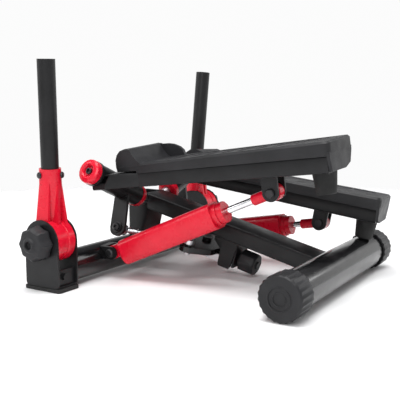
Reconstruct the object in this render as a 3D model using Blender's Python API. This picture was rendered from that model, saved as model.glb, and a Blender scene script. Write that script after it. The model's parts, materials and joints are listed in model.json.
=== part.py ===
"""Twist stepper: a low frame, two pedals on inclined pivots, two damping cylinders and two uprights.

+X is the user's right, +Y points forward to the uprights, +Z is up, the floor is z = 0.
All lengths are metres. Lengths along Y are first measured forward from the rear tube's axis
and then shifted by REAR_TUBE_Y, so that the whole object is centred over the origin.
Every left-hand piece is modelled and the right-hand one is its mirror image. The left pedal
stands at the top of its stroke and the right pedal at the bottom.
"""
import math

import bmesh
import bpy
from mathutils import Matrix, Vector
from mathutils.geometry import convex_hull_2d

GAP = 0.0003
REAR_TUBE_Y = -0.1705

# Frame
REAR_TUBE_RADIUS = 0.0265
REAR_TUBE_Z = 0.0305
REAR_TUBE_HALF_LENGTH = 0.1800
REAR_CAP_RADIUS = 0.0305
REAR_CAP_FLUTE = 0.0013
REAR_CAP_WIDTH = 0.0370
REAR_CAP_FACE = 0.1845
TUBE_WALL = 0.0020
CROSSBAR_Y = 0.3450
CROSSBAR_Z = 0.0270
CROSSBAR_RADIUS = 0.0235
POST_REAR_Y = 0.3090
POST_FRONT_Y = 0.3470
POST_HALF_WIDTH = 0.0250
POST_TOP = 0.1212
POST_WAIST = 0.0950
POST_BOTTOM = 0.0330
POST_TAPER = 0.0155
BEAM_WIDTH = 0.0500
BEAM_HEIGHT = 0.0250
BEAM_SLOPE = math.radians(14.16)
SLOPE_Y = math.cos(BEAM_SLOPE)
SLOPE_Z = math.sin(BEAM_SLOPE)

# Uprights and their brackets
BRACKET_OUTER_X = 0.2210
BRACKET_INNER_X = 0.1830
BRACKET_PLATE = 0.0025
BRACKET_REAR_Y = 0.3185
BRACKET_FRONT_Y = 0.3810
BRACKET_FLOOR = 0.0052
PAD_OVERHANG = 0.0030
HUB_Y = 0.34975
HUB_Z = 0.0690
HUB_RADIUS = 0.0306
HUB_FIN_DEPTH = 0.0012
UPRIGHT_RADIUS = 0.0127
UPRIGHT_WALL = 0.0018
UPRIGHT_FOOT = (0.1866, 0.3610)
UPRIGHT_SPLAY = math.radians(3.6)
UPRIGHT_LEAN = math.radians(2.9)
UPRIGHT_TOP_Z = 0.3250
SOCKET_TOP_Z = 0.1730
SOCKET_RADIUS = 0.0157
HUB_BOLTS = {"outer": (-0.95, 0.32, 0.0), "rear": (0.45, -0.89, 0.0)}
KNOB_RADIUS = 0.0258
KNOB_STUD_RADIUS = 0.0040

# Pedal pivots: both axes lie in one upright plane and rise outward
PIVOT_Y = 0.3150
PIVOT_CENTRE_Z = 0.1006
PIVOT_RISE = math.radians(22.87)
SHAFT_RADIUS = 0.0080
SLEEVE_RADIUS = 0.0172
SLEEVE_BORE = 0.0145
SLEEVE_INNER_END = 0.0540
SLEEVE_OUTER_END = 0.1620
SHAFT_END = 0.1662
SLEEVE_CAP_RADIUS = 0.0182
CRANK_STATION = 0.0855
CRANK_THICKNESS = 0.0050
LINK_SETBACK = 0.0120
CRANK_REACH = 0.0620
CRANK_HALF_WIDTH = 0.0135

# Pedals, in the attitude between the two ends of the stroke, then turned up or down
PEDAL_UP = math.radians(-7.45)
PEDAL_DOWN = math.radians(9.60)
PEDAL_ROLL = math.radians(-3.54)
PEDAL_YAW = math.radians(-2.25)
PEDAL_CENTRE_X = -0.0777
PEDAL_TOP_Z = 0.1794
PEDAL_TOP_SLOPE = -0.0210
PEDAL_HEEL_Y = -0.0385
PEDAL_TOE_Y = 0.2885
PEDAL_HALF_WIDTH = 0.0445
HEEL_EDGE = 0.0192
TOE_EDGE = 0.0138
PEDAL_SHELL = 0.0040
PANEL_DEPTH = 0.0012
HOOD_HEIGHT = 0.0235
STEEL_CENTRE_X = -0.0845
STEEL_HALF_WIDTH = 0.0345
STEEL_TOP_Z = 0.1602
STEEL_HEIGHT = 0.0215
STEEL_HEEL_Y = -0.0335
STEEL_FLARE = ((0.2550, 0.0), (0.2700, 0.0110), (0.2825, 0.0220), (0.2925, 0.0330))
STEEL_FLARE_STATION = 0.1552
STEEL_FLARE_LIFT = 0.11
BUMPER_X = -0.0840
BUMPER_Y = -0.0150
BUMPER_TOP_RADIUS = 0.0165
BUMPER_FOOT_RADIUS = 0.0135
BUMPER_FOOT_Z = 0.1085

# Damping cylinders
MOUNT_POINT = (-0.1030, 0.3110, 0.0400)
ROD_POINT = (-0.0894, 0.0564, 0.1159)
BARREL_OFFSET = 0.0065
BARREL_START = 0.0130
BARREL_END = 0.1830
BARREL_SIDE = 0.0385
COLLAR_END = 0.1990
BORE_RADIUS = 0.0140
ROD_RADIUS = 0.0049
ROD_LENGTH = 0.1450
ROD_TIP_SETBACK = 0.0215
EYE_RADIUS = 0.0118
EYE_HALF_THICKNESS = 0.0083
EAR_HALF_GAP = 0.0100
EAR_THICKNESS = 0.0035
PIN_RADIUS = 0.0040
EYE_PLAY = 0.0014

# Rocker and height adjuster, in the plane of the main beam
ROCKER_CENTRE = (0.0, 0.2120, 0.04633)
ROCKER_TIP = (0.0500, 0.0120)
ROCKER_REST = math.radians(11.707)
ROCKER_HALF_THICKNESS = 0.0045
LINK_LIFT = 0.0106
LINK_EYE_HALF = 0.0040
LINK_EYE_PLAY = 0.0013
REAR_EYE_HALF = 0.0032
ADJUSTER_DROP = -0.0035
BOLT_RADIUS = 0.0030


# ---------------------------------------------------------------- shape helpers
def at(x, y, z):
    """A point given by its lateral offset, its distance ahead of the rear tube, and its height."""
    return Vector((x, REAR_TUBE_Y + y, z))


def frame(origin, z_axis, x_hint):
    """A placement whose Z runs along z_axis and whose X lies as near to x_hint as it can."""
    z_dir = Vector(z_axis).normalized()
    y_dir = z_dir.cross(Vector(x_hint)).normalized()
    x_dir = y_dir.cross(z_dir)
    placement = Matrix((x_dir, y_dir, z_dir)).transposed().to_4x4()
    placement.translation = origin
    return placement


def solid(mesh_data):
    """Wrap a bmesh as a scene object with outward faces."""
    bmesh.ops.recalc_face_normals(mesh_data, faces=mesh_data.faces)
    mesh = bpy.data.meshes.new("shape")
    mesh_data.to_mesh(mesh)
    mesh_data.free()
    shape = bpy.data.objects.new("shape", mesh)
    bpy.context.scene.collection.objects.link(shape)
    return shape


def skin(rings, closed=False):
    """A solid through matching rings of points, capped at both ends unless it closes on itself."""
    mesh_data = bmesh.new()
    loops = [[mesh_data.verts.new(point) for point in ring] for ring in rings]
    pairs = list(zip(loops, loops[1:]))
    if closed:
        pairs.append((loops[-1], loops[0]))
    else:
        mesh_data.faces.new(loops[0])
        mesh_data.faces.new(loops[-1])
    for near, far in pairs:
        for index, corner in enumerate(near):
            after = (index + 1) % len(near)
            mesh_data.faces.new((corner, near[after], far[after], far[index]))
    return solid(mesh_data)


def circle(radius, segments):
    """Points of a circle."""
    step = 2 * math.pi / segments
    return [(radius * math.cos(i * step), radius * math.sin(i * step)) for i in range(segments)]


def arc(centre, radius, start, end, steps):
    """Points of an arc between two angles in degrees."""
    angles = [math.radians(start + (end - start) * i / steps) for i in range(steps + 1)]
    return [(centre[0] + radius * math.cos(a), centre[1] + radius * math.sin(a)) for a in angles]


def rounded_box_outline(width, height, radius, steps=3):
    """Outline of a rectangle with rounded corners, centred on zero."""
    half_w = width / 2 - radius
    half_h = height / 2 - radius
    corners = ((half_w, half_h, 0), (-half_w, half_h, 90), (-half_w, -half_h, 180), (half_w, -half_h, 270))
    outline = []
    for x, y, start in corners:
        outline += arc((x, y), radius, start, start + 90, steps)
    return outline


def prism(outline, low, high, placement=Matrix()):
    """A straight solid on an outline, between two heights along the placement's Z."""
    rings = [[placement @ Vector((x, y, z)) for x, y in outline] for z in (low, high)]
    return skin(rings)


def turned(profile, segments, placement=Matrix(), closed=False):
    """A solid of revolution about the placement's Z, through (radius, height) points."""
    rings = []
    for radius, height in profile:
        rings.append([placement @ Vector((x, y, height)) for x, y in circle(radius, segments)])
    return skin(rings, closed)


def box(low, high):
    """An upright box between two opposite corners."""
    outline = [(low[0], low[1]), (high[0], low[1]), (high[0], high[1]), (low[0], high[1])]
    return prism(outline, low[2], high[2])


def rod_between(start, end, radius, segments=16):
    """A round bar between two points."""
    along = Vector(end) - Vector(start)
    hint = (0, 0, 1) if abs(along.normalized().z) < 0.9 else (1, 0, 0)
    return turned([(radius, 0), (radius, along.length)], segments, frame(start, along, hint))


def combine(base, others, operation):
    """Apply a Boolean of the other shapes to the base and drop them."""
    for other in others:
        modifier = base.modifiers.new("combine", "BOOLEAN")
        modifier.operation = operation
        modifier.solver = "EXACT"
        modifier.object = other
        bpy.context.view_layer.update()
        evaluated = base.evaluated_get(bpy.context.evaluated_depsgraph_get())
        result = bpy.data.meshes.new_from_object(evaluated)
        base.modifiers.clear()
        base.data = result
        bpy.data.objects.remove(other)
    return base


def unite(base, *others):
    """Join shapes into one body."""
    return combine(base, others, "UNION")


def cut(base, *others):
    """Take shapes away from a body."""
    return combine(base, others, "DIFFERENCE")


def finish(shape, name, look, placement=Matrix(), body=None):
    """Place a shape, name it, colour it, shade it and hang it on its body's empty."""
    mesh_data = bmesh.new()
    mesh_data.from_mesh(shape.data)
    mesh_data.transform(placement)
    bmesh.ops.dissolve_degenerate(mesh_data, dist=0.000002, edges=mesh_data.edges)
    bmesh.ops.recalc_face_normals(mesh_data, faces=mesh_data.faces)
    mesh_data.to_mesh(shape.data)
    mesh_data.free()
    shape.data.shade_smooth()
    shape.data.set_sharp_from_angle(angle=math.radians(32))
    shape.name = name
    shape.data.name = name
    shape.data.materials.clear()
    shape.data.materials.append(look(name))
    if body is not None:
        set_origin(shape, body.location)
        shape.parent = body
        shape.location = (0, 0, 0)
    return shape


def set_origin(shape, point):
    """Move a shape's origin without moving its surface."""
    shape.data.transform(Matrix.Translation(-Vector(point)))
    shape.location = point


def axis_empty(name, point):
    """An empty standing on a joint's axis."""
    empty = bpy.data.objects.new(name, None)
    empty.empty_display_size = 0.02
    empty.location = point
    bpy.context.scene.collection.objects.link(empty)
    bpy.context.view_layer.update()
    return empty


# ---------------------------------------------------------------- materials
def principled(name, colour, roughness, metallic):
    """A plain Principled material."""
    material = bpy.data.materials.new(name + "_material")
    material.use_nodes = True
    shader = material.node_tree.nodes["Principled BSDF"]
    shader.inputs["Base Color"].default_value = (*colour, 1.0)
    shader.inputs["Roughness"].default_value = roughness
    shader.inputs["Metallic"].default_value = metallic
    return material


def powder_coat(name):
    """Satin black powder coat on steel."""
    return principled(name, (0.020, 0.020, 0.021), 0.42, 0.0)


def gloss_black(name):
    """Smooth black enamel on steel tube."""
    return principled(name, (0.012, 0.012, 0.013), 0.22, 0.0)


def black_plastic(name):
    """Charcoal moulded plastic."""
    return principled(name, (0.032, 0.032, 0.034), 0.55, 0.0)


def black_rubber(name):
    """Matte black rubber."""
    return principled(name, (0.022, 0.022, 0.022), 0.80, 0.0)


def red_plastic(name):
    """Glossy red moulded plastic."""
    return principled(name, (0.60, 0.012, 0.028), 0.28, 0.0)


def chrome(name):
    """Polished chrome plate."""
    return principled(name, (0.78, 0.78, 0.80), 0.12, 1.0)


def zinc(name):
    """Bright zinc plate."""
    return principled(name, (0.62, 0.62, 0.64), 0.32, 1.0)


def black_oxide(name):
    """Black oxide on fasteners."""
    return principled(name, (0.018, 0.018, 0.020), 0.35, 0.6)


# ---------------------------------------------------------------- attitudes
def mirror(side):
    """Left-hand pieces stay, right-hand pieces are mirrored across the middle plane."""
    return Matrix.Scale(-1, 4, (1, 0, 0)) if side == "right" else Matrix()


def pivot_axis():
    """Direction of the left pedal pivot, from its high outer end to the middle."""
    return Vector((math.cos(PIVOT_RISE), 0, -math.sin(PIVOT_RISE)))


def pivot_frame():
    """Placement on the left pivot: origin in the middle plane, Z outward along the axis, X down."""
    outward = -pivot_axis()
    down = Vector((-math.sin(PIVOT_RISE), 0, -math.cos(PIVOT_RISE)))
    return frame(at(0, PIVOT_Y, PIVOT_CENTRE_Z), outward, down)


def swing(side):
    """Turn about the pedal pivot from the neutral attitude to the rest attitude."""
    angle = PEDAL_UP if side == "left" else PEDAL_DOWN
    centre = Matrix.Translation(at(0, PIVOT_Y, PIVOT_CENTRE_Z))
    return mirror(side) @ centre @ Matrix.Rotation(angle, 4, pivot_axis()) @ centre.inverted()


def tread_tilt():
    """Small fixed roll and yaw of the tread on its pivot sleeve."""
    centre = Matrix.Translation(at(PEDAL_CENTRE_X, PIVOT_Y, PEDAL_TOP_Z))
    turn = Matrix.Rotation(PEDAL_ROLL, 4, "Y") @ Matrix.Rotation(PEDAL_YAW, 4, "Z")
    return centre @ turn @ centre.inverted()


def tread(side):
    """Placement of everything that belongs to the tread."""
    return swing(side) @ tread_tilt()


def slope_frame():
    """Placement in the rocker's plane: X to the right, Y up the beam, Z square to the beam."""
    return frame(at(*ROCKER_CENTRE), (0, -SLOPE_Z, SLOPE_Y), (1, 0, 0))


def cylinder_frame(side):
    """Placement on a cylinder's axis: Z from the lower to the upper end, X across, Y up."""
    low = mirror(side) @ at(*MOUNT_POINT)
    high = tread(side) @ at(*ROD_POINT)
    across = (tread(side).to_3x3() @ Vector((1, 0, 0))).normalized()
    if side == "right":
        across = -across
    along = (high - low).normalized()
    up = along.cross(across).normalized()
    if up.z < 0:
        up = -up
    tilt = math.asin(BARREL_OFFSET / (high - low).length)
    axis = along * math.cos(tilt) + up * math.sin(tilt)
    offset = up * math.cos(tilt) - along * math.sin(tilt)
    placement = frame(low - offset * BARREL_OFFSET, axis, across)
    return placement, (high - low).length * math.cos(tilt)


def link_ends(side):
    """The two pivots of a link rod: on the crank bolt and on the rocker's tip bolt."""
    crank = pivot_frame() @ Vector((CRANK_REACH, 0, CRANK_STATION - LINK_SETBACK))
    front = swing(side) @ crank
    turn = Matrix.Rotation(ROCKER_REST, 4, "Z")
    lateral = -ROCKER_TIP[0] if side == "left" else ROCKER_TIP[0]
    rear = slope_frame() @ turn @ Vector((lateral, ROCKER_TIP[1], LINK_LIFT))
    return front, rear


# ---------------------------------------------------------------- frame pieces
def front_crossbar():
    """Round front tube between the two upright brackets."""
    half = BRACKET_INNER_X - BRACKET_PLATE / 2 - GAP
    placement = frame(at(0, CROSSBAR_Y, CROSSBAR_Z), (1, 0, 0), (0, 0, 1))
    inner = CROSSBAR_RADIUS - TUBE_WALL
    profile = [(CROSSBAR_RADIUS, -half), (CROSSBAR_RADIUS, half), (inner, half), (inner, -half)]
    finish(turned(profile, 32, placement, closed=True), "front_crossbar", gloss_black)


def crossbar_cutter():
    """The space the front tube and its fitting gap take."""
    start = at(-0.3, CROSSBAR_Y, CROSSBAR_Z)
    return rod_between(start, start + Vector((0.6, 0, 0)), CROSSBAR_RADIUS + GAP, 32)


def post_ring(inset, z, taper):
    """One level of the post: its rear face moves forward by the taper."""
    rear = POST_REAR_Y + taper + inset
    front = POST_FRONT_Y - inset
    radius = 0.003 - inset * 0.75
    outline = rounded_box_outline(2 * (POST_HALF_WIDTH - inset), front - rear, radius, 2)
    return [at(x, (front + rear) / 2 + y, z) for x, y in outline]


def pivot_post():
    """Tapered open-topped post on the front tube that carries the beam and both pivot shafts."""
    levels = ((POST_BOTTOM, POST_TAPER), (POST_WAIST, 0.0), (POST_TOP, 0.0))
    post = skin([post_ring(0.0, z, taper) for z, taper in levels])
    levels = ((POST_BOTTOM - 0.001, POST_TAPER), (POST_WAIST, 0.0), (POST_TOP + 0.001, 0.0))
    hollow = skin([post_ring(TUBE_WALL, z, taper) for z, taper in levels])
    finish(cut(post, hollow, crossbar_cutter()), "pivot_post", powder_coat)


def main_beam():
    """Sloping rectangular tube from the post down to the rear tube."""
    front_y = POST_REAR_Y - GAP
    rings = []
    outlines = (
        rounded_box_outline(BEAM_WIDTH, BEAM_HEIGHT, 0.003),
        rounded_box_outline(BEAM_WIDTH - 2 * TUBE_WALL, BEAM_HEIGHT - 2 * TUBE_WALL, 0.0015),
    )
    for outline in outlines:
        for y in (REAR_TUBE_RADIUS / 2, front_y):
            middle_z = REAR_TUBE_Z + y * math.tan(BEAM_SLOPE)
            rings.append([at(x, y, middle_z + h / SLOPE_Y) for x, h in outline])
    beam = skin([rings[0], rings[1], rings[3], rings[2]], closed=True)
    start = at(-0.1, 0, REAR_TUBE_Z)
    seat = rod_between(start, start + Vector((0.2, 0, 0)), REAR_TUBE_RADIUS + GAP, 36)
    finish(cut(beam, seat), "main_beam", powder_coat)


def rear_tube():
    """Round rear tube that carries the back of the machine."""
    placement = frame(at(0, 0, REAR_TUBE_Z), (1, 0, 0), (0, 0, 1))
    outer, inner = REAR_TUBE_RADIUS, REAR_TUBE_RADIUS - TUBE_WALL
    half = REAR_TUBE_HALF_LENGTH
    profile = [(outer, -half), (outer, half), (inner, half), (inner, -half)]
    finish(turned(profile, 36, placement, closed=True), "rear_tube", gloss_black)


def rear_cap(side):
    """Moulded end cap with a fluted rim and raised rings on its face."""
    flutes = 22
    face = REAR_CAP_FACE
    groove = face - 0.0008
    rim_end = face - REAR_CAP_WIDTH
    bore = REAR_TUBE_RADIUS + GAP
    profile = [
        (bore, rim_end, 0), (REAR_CAP_RADIUS, rim_end, 1), (REAR_CAP_RADIUS, face - 0.0035, 1),
        (REAR_CAP_RADIUS - 0.0030, groove, 0), (0.0168, groove, 0), (0.0160, face, 0), (0.0152, groove, 0),
        (0.0098, groove, 0), (0.0090, face, 0), (0.0082, groove, 0), (0.0030, groove, 0),
    ]
    placement = frame(at(0, 0, REAR_TUBE_Z), (-1, 0, 0), (0, 0, 1))
    rings = []
    for radius, height, fluted in profile:
        ring = []
        for index, (x, y) in enumerate(circle(1.0, 2 * flutes)):
            reach = radius - REAR_CAP_FLUTE * fluted * (index % 2)
            ring.append(placement @ Vector((x * reach, y * reach, height)))
        rings.append(ring)
    floor_height = REAR_TUBE_HALF_LENGTH + GAP
    for radius in (0.0030, bore):
        rings.append([placement @ Vector((x, y, floor_height)) for x, y in circle(radius, 2 * flutes)])
    outer_rings, floor_rings = rings[:-2], rings[-2:]
    cap = skin([floor_rings[0], floor_rings[1]] + outer_rings)
    finish(cap, "rear_cap_" + side, black_plastic, mirror(side))


def bracket_outline():
    """Side view of a bracket plate: square foot with small corners, round top."""
    half = (BRACKET_FRONT_Y - BRACKET_REAR_Y) / 2
    corner = 0.005
    left = (HUB_Y - half + corner, BRACKET_FLOOR + corner)
    right = (HUB_Y + half - corner, BRACKET_FLOOR + corner)
    outline = arc((HUB_Y, HUB_Z + 0.001), half, 0, 180, 14)
    outline += arc(left, corner, 180, 270, 2)
    outline += arc(right, corner, 270, 360, 2)
    return outline


def side_prism(outline, low_x, high_x):
    """A plate whose outline is given in the YZ plane, between two lateral offsets."""
    rings = [[at(x, y, z) for y, z in outline] for x in (low_x, high_x)]
    return skin(rings)


def upright_bracket(side):
    """U-shaped steel bracket that clamps the upright's hub."""
    outer, inner, half = -BRACKET_OUTER_X, -BRACKET_INNER_X, BRACKET_PLATE / 2
    bracket = side_prism(bracket_outline(), outer - half, outer + half)
    inside = side_prism(bracket_outline(), inner - half, inner + half)
    floor = box(at(outer, BRACKET_REAR_Y + 0.001, BRACKET_FLOOR), at(inner, BRACKET_FRONT_Y - 0.001, 0.0078))
    tab = box(at(outer, 0.3235, BRACKET_FLOOR + 0.001), at(inner, 0.3260, 0.0300))
    bolt_x, bolt_z = -0.2055, 0.0200
    bolt = rod_between(at(bolt_x, 0.3250, bolt_z), at(bolt_x, 0.3195, bolt_z), 0.0050, 12)
    nut_start = at(inner, HUB_Y, HUB_Z)
    nut = rod_between(nut_start, nut_start + Vector((0.0070, 0, 0)), 0.0080, 6)
    stud_start = at(outer - 0.01, HUB_Y, HUB_Z)
    stud_hole = rod_between(stud_start, stud_start + Vector((0.06, 0, 0)), KNOB_STUD_RADIUS + GAP, 16)
    bracket = cut(unite(bracket, inside, floor, tab, bolt, nut), stud_hole)
    finish(bracket, "upright_bracket_" + side, powder_coat, mirror(side))


def foot_pad(side):
    """Rubber pad under a bracket."""
    outer, inner = -BRACKET_OUTER_X - PAD_OVERHANG, -BRACKET_INNER_X + BRACKET_PLATE / 2
    outline = rounded_box_outline(inner - outer, BRACKET_FRONT_Y - BRACKET_REAR_Y + 2 * PAD_OVERHANG, 0.005)
    placement = Matrix.Translation(at((outer + inner) / 2, HUB_Y, 0))
    pad = prism(outline, 0.0, BRACKET_FLOOR - GAP, placement)
    finish(pad, "foot_pad_" + side, black_rubber, mirror(side))


def mount_frame():
    """Placement on the left lower cylinder bolt: Z along the bolt to the right, Y forward."""
    middle = Matrix.Rotation((PEDAL_UP + PEDAL_DOWN) / 2, 3, pivot_axis()) @ tread_tilt().to_3x3()
    return frame(at(*MOUNT_POINT), middle @ Vector((1, 0, 0)), (0, 0, -1))


def cylinder_mount(side):
    """Forked bracket on the front tube for a cylinder's lower end."""
    half = EAR_HALF_GAP + EAR_THICKNESS
    placement = mount_frame()
    outline = arc((0, 0), 0.0105, 205, 385, 10)
    outline += [(0.0150, 0.0310), (-0.0080, 0.0310)]
    body = prism(outline, -half, half, placement)
    slot_outline = [(-0.03, -0.03), (0.03, -0.03), (0.03, 0.0125), (-0.03, 0.0125)]
    slot = prism(slot_outline, -EAR_HALF_GAP, EAR_HALF_GAP, placement)
    hole = turned([(PIN_RADIUS + GAP, -0.03), (PIN_RADIUS + GAP, 0.03)], 16, placement)
    mount = cut(body, slot, hole, crossbar_cutter())
    finish(mount, "cylinder_mount_" + side, powder_coat, mirror(side))


def headed_pin(half_length, radius, head_radius, head_height, placement, segments=16):
    """A pin across a joint with a head at each end: bolt head outside, nut inside."""
    profile = [
        (head_radius * 0.8, -half_length - head_height), (head_radius, -half_length - head_height * 0.7),
        (head_radius, -half_length), (radius, -half_length), (radius, half_length),
        (head_radius * 0.9, half_length), (head_radius * 0.9, half_length + head_height),
    ]
    return turned(profile, segments, placement)


def cylinder_mount_bolt(side):
    """Bolt through the lower fork and the barrel's eye."""
    half = EAR_HALF_GAP + EAR_THICKNESS + GAP
    bolt = headed_pin(half, PIN_RADIUS, 0.0068, 0.0040, mount_frame())
    finish(bolt, "cylinder_mount_bolt_" + side, black_oxide, mirror(side))


def pivot_shaft(side):
    """Solid inclined shaft welded to the side of the post."""
    placement = pivot_frame()
    start_x = -POST_HALF_WIDTH - GAP
    outer_end = SHAFT_END
    rings = [[], []]
    for x, y in circle(SHAFT_RADIUS, 20):
        foot = placement @ Vector((x, y, 0))
        reach = (start_x - foot.x) / -math.cos(PIVOT_RISE)
        rings[0].append(placement @ Vector((x, y, reach)))
        rings[1].append(placement @ Vector((x, y, outer_end)))
    shaft = skin(rings)
    hole = turned([(BOLT_RADIUS + GAP, outer_end - 0.018), (BOLT_RADIUS + GAP, 0.2)], 16, placement)
    finish(cut(shaft, hole), "pivot_shaft_" + side, zinc, mirror(side))


def pivot_end_bolt(side):
    """Socket bolt that keeps the pedal on its shaft."""
    head_seat = SHAFT_END + 0.0031
    profile = [(BOLT_RADIUS, head_seat - 0.018), (BOLT_RADIUS, head_seat), (0.0048, head_seat),
               (0.0048, head_seat + 0.0030), (0.0042, head_seat + 0.0037), (0.0026, head_seat + 0.0037),
               (0.0026, head_seat + 0.0015)]
    bolt = turned(profile, 14, pivot_frame())
    finish(bolt, "pivot_end_bolt_" + side, black_oxide, mirror(side))


# ---------------------------------------------------------------- adjuster and rocker
def beam_underside():
    """Height of the beam's underside above the rocker's plane."""
    centre_height = REAR_TUBE_Z + ROCKER_CENTRE[1] * math.tan(BEAM_SLOPE)
    return (centre_height - ROCKER_CENTRE[2]) * SLOPE_Y - BEAM_HEIGHT / 2


def adjuster_bracket():
    """Steel saddle under the beam that guides the pivot block."""
    placement = slope_frame()
    top = beam_underside() - GAP
    rear, low = -0.0635, -0.0200
    plate = 0.0030
    side_outline = [(rear, top), (-0.0228, top), (-0.0228, top - 0.0060), (-0.0362, 0.0062),
                    (-0.0370, low + 0.0030), (-0.0385, low), (rear + 0.0070, low), (rear + 0.0045, low + 0.0050)]
    saddle = None
    for inner in (-0.0200, 0.0170):
        rings = [[placement @ Vector((x, y, z)) for y, z in side_outline] for x in (inner, inner + plate)]
        wall = skin(rings)
        saddle = wall if saddle is None else unite(saddle, wall)
    back_outline = [(-0.0185, rear + 0.0001), (0.0185, rear + 0.0001), (0.0185, rear + plate), (-0.0185, rear + plate)]
    back = prism(back_outline, low + 0.004, top - 0.001, placement)
    screw = placement @ frame(Vector((0, 0, ADJUSTER_DROP)), (0, 1, 0), (0, 0, 1))
    hole = turned([(PIN_RADIUS + GAP, -0.08), (PIN_RADIUS + GAP, -0.03)], 18, screw)
    finish(cut(unite(saddle, back), hole), "adjuster_bracket", powder_coat)


def adjuster_knob(body):
    """Fluted knob with its screw moulded in."""
    placement = slope_frame() @ frame(Vector((0, 0, ADJUSTER_DROP)), (0, 1, 0), (0, 0, 1))
    flutes = 8
    knob_front, knob_rear = -0.0652, -0.0936
    rings = []
    profile = [
        (PIN_RADIUS, -0.0395, 0), (PIN_RADIUS, knob_front, 0), (0.0120, knob_front, 0),
        (0.0176, knob_front - 0.0040, 1), (0.0176, knob_rear + 0.0030, 1), (0.0150, knob_rear, 0.6),
        (0.0060, knob_rear, 0), (0.0060, knob_rear - 0.0022, 0),
    ]
    for radius, height, fluted in profile:
        ring = []
        for index, (x, y) in enumerate(circle(1.0, 4 * flutes)):
            reach = radius * (1 - 0.10 * fluted * (0, 0.6, 1, 0.6)[index % 4])
            ring.append(placement @ Vector((x * reach, y * reach, height)))
        rings.append(ring)
    finish(skin(rings), "adjuster_knob", black_plastic, body=body)


def pivot_block(body):
    """Block that the adjuster screw draws along the beam; the rocker turns on it."""
    placement = slope_frame()
    low, seat, top = -0.0165, -ROCKER_HALF_THICKNESS - GAP, 0.0040
    outline = [(-0.0580, low), (0.0120, low), (0.0120, seat), (-0.0358, seat), (-0.0358, top), (-0.0580, top)]
    block = skin([[placement @ Vector((x, y, z)) for y, z in outline] for x in (-0.0165, 0.0165)])
    screw = placement @ frame(Vector((0, 0, ADJUSTER_DROP)), (0, 1, 0), (0, 0, 1))
    thread = turned([(PIN_RADIUS + GAP, -0.07), (PIN_RADIUS + GAP, -0.0380)], 18, screw)
    hole = turned([(PIN_RADIUS + GAP, -0.03), (PIN_RADIUS + GAP, 0.03)], 18, placement)
    finish(cut(block, thread, hole), "pivot_block", zinc, body=body)


def rocker_lever(body):
    """Boat-shaped plate that makes one pedal rise as the other sinks."""
    placement = slope_frame() @ Matrix.Rotation(ROCKER_REST, 4, "Z")
    tip_x, tip_y = ROCKER_TIP
    points = circle(0.0335, 28)
    for side in (-1, 1):
        points += [(side * 0.030 + dx, dy - 0.0055) for dx, dy in circle(0.0195, 24)]
        points += [(side * tip_x + dx, tip_y + dy) for dx, dy in circle(0.0130, 20)]
    outline = [points[i] for i in convex_hull_2d([Vector(p) for p in points])]
    plate = prism(outline, -ROCKER_HALF_THICKNESS, ROCKER_HALF_THICKNESS, placement)
    holes = [turned([(PIN_RADIUS + GAP, -0.02), (PIN_RADIUS + GAP, 0.02)], 18, placement)]
    for x in (-tip_x, tip_x):
        tip = placement @ Matrix.Translation((x, tip_y, 0))
        holes.append(turned([(BOLT_RADIUS + GAP, -0.02), (BOLT_RADIUS + GAP, 0.02)], 16, tip))
    finish(cut(plate, *holes), "rocker_lever", gloss_black, body=body)


def rocker_pivot_bolt(body):
    """Bolt on which the rocker turns."""
    top = ROCKER_HALF_THICKNESS + GAP
    low = -0.0165 - GAP
    profile = [(0.0060, low - 0.0040), (0.0060, low), (PIN_RADIUS, low), (PIN_RADIUS, top),
               (0.0075, top), (0.0075, top + 0.0035), (0.0062, top + 0.0048)]
    finish(turned(profile, 16, slope_frame()), "rocker_pivot_bolt", black_oxide, body=body)


def rocker_tip_bolt(side, body):
    """Bolt with wide washers that carries a link rod's rear eye."""
    lateral = -ROCKER_TIP[0] if side == "left" else ROCKER_TIP[0]
    turn = Matrix.Rotation(ROCKER_REST, 4, "Z")
    placement = slope_frame() @ turn @ Matrix.Translation((lateral, ROCKER_TIP[1], 0))
    under = -ROCKER_HALF_THICKNESS - GAP
    over = LINK_LIFT + REAR_EYE_HALF + 0.0028
    profile = [(0.0050, under - 0.0046), (0.0050, under), (BOLT_RADIUS, under), (BOLT_RADIUS, over),
               (0.0078, over), (0.0078, over + 0.0012), (0.0046, over + 0.0012), (0.0046, over + 0.0040)]
    finish(turned(profile, 16, placement), "rocker_tip_bolt_" + side, zinc, body=body)


def link_rod(side, body):
    """Zinc-plated rod with an eye at each end, from the crank to the rocker."""
    front, rear = link_ends(side)
    eye = 0.0085
    crank_axis = (swing(side).to_3x3() @ pivot_axis()).normalized()
    front_frame = frame(front, crank_axis, (0, 1, 0))
    rear_frame = frame(rear, (0, -SLOPE_Z, SLOPE_Y), (1, 0, 0))
    along = (rear - front).normalized()
    bar = rod_between(front + along * 0.0075, rear - along * 0.0062, 0.0032, 14)
    sleeve = rod_between(front + along * 0.0098, front + along * 0.024, 0.0050, 14)
    front_eye = turned([(eye, -LINK_EYE_HALF), (eye, LINK_EYE_HALF)], 20, front_frame)
    rear_eye = turned([(0.0082, -REAR_EYE_HALF), (0.0082, REAR_EYE_HALF)], 20, rear_frame)
    play = BOLT_RADIUS + LINK_EYE_PLAY
    front_hole = turned([(play, -0.02), (play, 0.02)], 16, front_frame)
    rear_hole = turned([(0.0056, -0.02), (0.0056, 0.02)], 16, rear_frame)
    rod = cut(unite(bar, sleeve, front_eye, rear_eye), front_hole, rear_hole)
    finish(rod, "link_rod_" + side, zinc, body=body)


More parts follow.
